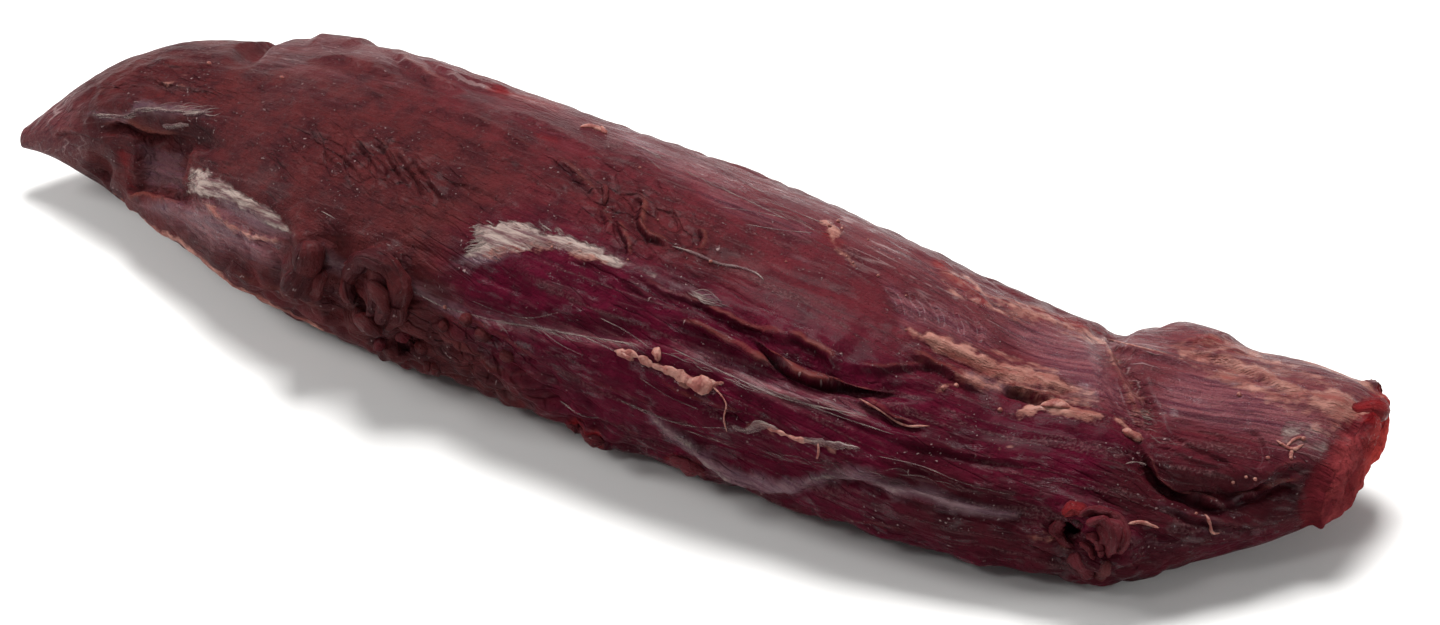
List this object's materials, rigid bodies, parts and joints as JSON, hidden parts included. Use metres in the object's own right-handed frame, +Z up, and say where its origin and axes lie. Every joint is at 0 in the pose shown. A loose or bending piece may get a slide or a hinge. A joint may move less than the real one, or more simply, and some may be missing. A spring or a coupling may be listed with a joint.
{
  "type": "raw beef petite tender",
  "caption": "Whole raw trimmed beef muscle, long and rounded, with a thin tip, a waist seam, a small cut face and a flat underside.",
  "frame": {"origin": "on the resting surface, at the bottom centre of the piece's bounding box", "axes": "+X along the muscle from the thin tip to the cut end, +Y to its far side, +Z up"},
  "size_m": [0.2386, 0.0693, 0.038],
  "materials": {
    "lean_meat": "moist satin raw lean beef with fine grain",
    "fat": "soft satin pink-orange fat",
    "silverskin": "glossy thin bluish-white membrane"
  },
  "bodies": {
    "root": {"petite_tender": "lean_meat"}
  },
  "joints": []
}
